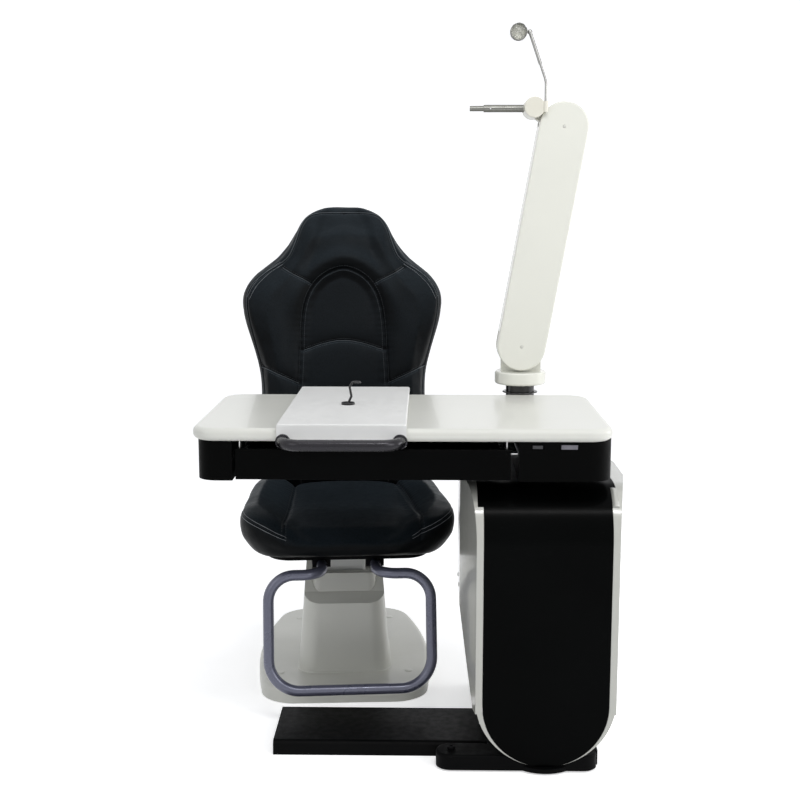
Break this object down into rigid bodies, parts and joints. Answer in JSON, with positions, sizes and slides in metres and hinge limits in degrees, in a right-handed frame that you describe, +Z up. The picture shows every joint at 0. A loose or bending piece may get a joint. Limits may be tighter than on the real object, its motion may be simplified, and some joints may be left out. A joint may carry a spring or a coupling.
{
  "type": "refraction unit",
  "caption": "Ophthalmic refraction unit: wing table with drawer, sliding tray and lift column, parallel arm with rod and lamp, and a lifting patient chair.",
  "frame": {"origin": "on the floor, on the axis of the table's lift column, in the underside of the levelling foot below it", "axes": "+Z up; -Y the operator's side, +Y the side where the patient's chair stands; the table reaches from the column to -X"},
  "size_m": [0.9575, 1.0989, 1.6597],
  "materials": {
    "white_shell": "warm white gloss moulding",
    "table_white": "polished white moulded board",
    "panel_black": "satin black powder coat",
    "apron_black": "satin black moulding",
    "cap_black": "matt black moulding",
    "frame_black": "black fine-texture coat",
    "rubber_pad": "black rubber",
    "plate_dark": "dark grey coat",
    "steel": "machined steel",
    "steel_sheet": "bright folded sheet steel",
    "glide_white": "natural plastic glide",
    "tray_white": "warm white gloss",
    "handle_grey": "gunmetal grey anodised",
    "arm_white": "warm white gloss moulding",
    "arm_metal": "machined aluminium",
    "collar_white": "warm white gloss enamel",
    "boss_cream": "cream white enamel",
    "rod_steel": "satin steel",
    "chrome": "bright chrome",
    "lamp_face": "frosted lens",
    "switch_grey": "light grey",
    "switch_dark": "dark grey",
    "knob_black": "black",
    "pedestal_grey": "warm grey satin moulding",
    "ring_blue": "blue-grey satin coat",
    "leather_dark": "very dark blue-grey upholstery",
    "shell_dark": "dark moulded shell"
  },
  "bodies": {
    "base": {"base_frame": "frame_black", "levelling_feet": "rubber_pad", "foot_plate": "plate_dark", "cabinet_liner": "frame_black", "cabinet_front_panel": "panel_black", "cabinet_rear_panel": "panel_black", "cabinet_top_cap": "panel_black", "cabinet_side_cover_left": "white_shell", "cabinet_side_cover_right": "white_shell", "lift_column_outer": "frame_black", "column_glides": "glide_white", "lift_actuator": "steel", "power_unit": "plate_dark", "chair_base_plate": "frame_black", "chair_base_feet": "rubber_pad", "chair_base_cover": "pedestal_grey", "pedestal_outer_cover": "pedestal_grey", "chair_column": "steel"},
    "chair_stage": {"pedestal_middle_cover": "pedestal_grey"},
    "chair_top": {"pedestal_inner_cover": "pedestal_grey", "chair_ram": "steel", "seat_mount": "frame_black", "seat_pan": "frame_black", "seat_cushion": "leather_dark", "back_shell": "shell_dark", "back_cushion": "leather_dark", "back_struts": "ring_blue", "footrest_ring": "ring_blue", "footrest_clamps": "frame_black"},
    "table": {"lift_column_ram": "steel", "lift_spindle": "steel", "table_frame": "frame_black", "tabletop": "table_white", "apron_left": "apron_black", "apron_right": "apron_black", "drawer_runners": "steel_sheet", "instrument_post": "panel_black", "post_clamp": "frame_black", "switch_bodies": "switch_dark"},
    "drawer": {"drawer_front": "apron_black", "drawer_box": "steel_sheet", "drawer_slide_bars": "steel_sheet"},
    "tray": {"instrument_tray": "tray_white", "tray_handle": "handle_grey", "tray_glides": "glide_white", "cable_guide": "knob_black"},
    "rocker": {"lift_rocker": "switch_grey"},
    "button": {"lamp_button": "switch_dark"},
    "collar": {"arm_collar": "collar_white"},
    "arm": {"arm_cover_front": "arm_white", "arm_cover_rear": "arm_white", "arm_beam": "arm_metal", "arm_pins": "steel"},
    "link": {"level_link": "steel"},
    "head": {"head_block": "boss_cream"},
    "rod": {"instrument_rod": "rod_steel"},
    "knob": {"clamp_knob": "knob_black"},
    "stalk": {"lamp_stalk": "chrome"},
    "lamp": {"lamp_head": "chrome", "lamp_lens": "lamp_face"}
  },
  "joints": [
    {"name": "table_lift", "type": "slide", "parent": "base", "child": "table", "axis": [0, 0, 1], "range_m": [0, 0.2]},
    {"name": "tray_slide", "type": "slide", "parent": "table", "child": "tray", "axis": [1, 0, 0], "range_m": [-0.18, 0.22]},
    {"name": "drawer_slide", "type": "slide", "parent": "table", "child": "drawer", "axis": [0, -1, 0], "range_m": [0, 0.26]},
    {"name": "lift_rocker_tilt", "type": "hinge", "parent": "table", "child": "rocker", "pos_m": [0.041, -0.2845, 0.725], "axis": [0, 0, 1], "range_deg": [-5, 5], "stiffness_Nm_per_rad": 0.5},
    {"name": "lamp_button_press", "type": "slide", "parent": "table", "child": "button", "axis": [0, 1, 0], "range_m": [0, 0.002], "stiffness_N_per_m": 400},
    {"name": "arm_swivel", "type": "hinge", "parent": "table", "child": "collar", "pos_m": [-0.024, 0.25, 0.786], "axis": [0, 0, 1], "range_deg": [-15, 95]},
    {"name": "arm_tilt", "type": "hinge", "parent": "collar", "child": "arm", "pos_m": [-0.024, 0.25, 0.882], "axis": [0, 1, 0], "range_deg": [-70, 8]},
    {"name": "head_level", "type": "hinge", "parent": "arm", "child": "head", "pos_m": [0.07166, 0.25, 1.41905], "axis": [0, 1, 0], "range_deg": [-8, 70]},
    {"name": "link_follow", "type": "hinge", "parent": "collar", "child": "link", "pos_m": [-0.05481, 0.25, 0.86763], "axis": [0, 1, 0], "range_deg": [-70, 8]},
    {"name": "rod_turn", "type": "hinge", "parent": "head", "child": "rod", "pos_m": [-0.02659, 0.25, 1.46411], "axis": [1, 0, 0], "range_deg": [-45, 45]},
    {"name": "clamp_knob_turn", "type": "hinge", "parent": "head", "child": "knob", "pos_m": [-0.00159, 0.29, 1.46411], "axis": [0, 1, 0], "range_deg": [-180, 0]},
    {"name": "lamp_swivel", "type": "hinge", "parent": "head", "child": "stalk", "pos_m": [0.02441, 0.203, 1.47811], "axis": [0, 0, 1], "range_deg": [-90, 90]},
    {"name": "lamp_tilt", "type": "hinge", "parent": "stalk", "child": "lamp", "pos_m": [-0.01611, 0.203, 1.63918], "axis": [1, 0, 0], "range_deg": [-40, 40]},
    {"name": "chair_lift", "type": "slide", "parent": "base", "child": "chair_top", "axis": [0, 0, 1], "range_m": [0, 0.12]},
    {"name": "chair_stage_follow", "type": "slide", "parent": "base", "child": "chair_stage", "axis": [0, 0, 1], "range_m": [0, 0.06]}
  ],
  "couplings": [
    {"joint": "head_level", "follows": "arm_tilt", "ratio": -1},
    {"joint": "link_follow", "follows": "arm_tilt", "ratio": 1},
    {"joint": "chair_stage_follow", "follows": "chair_lift", "ratio": 0.5}
  ]
}
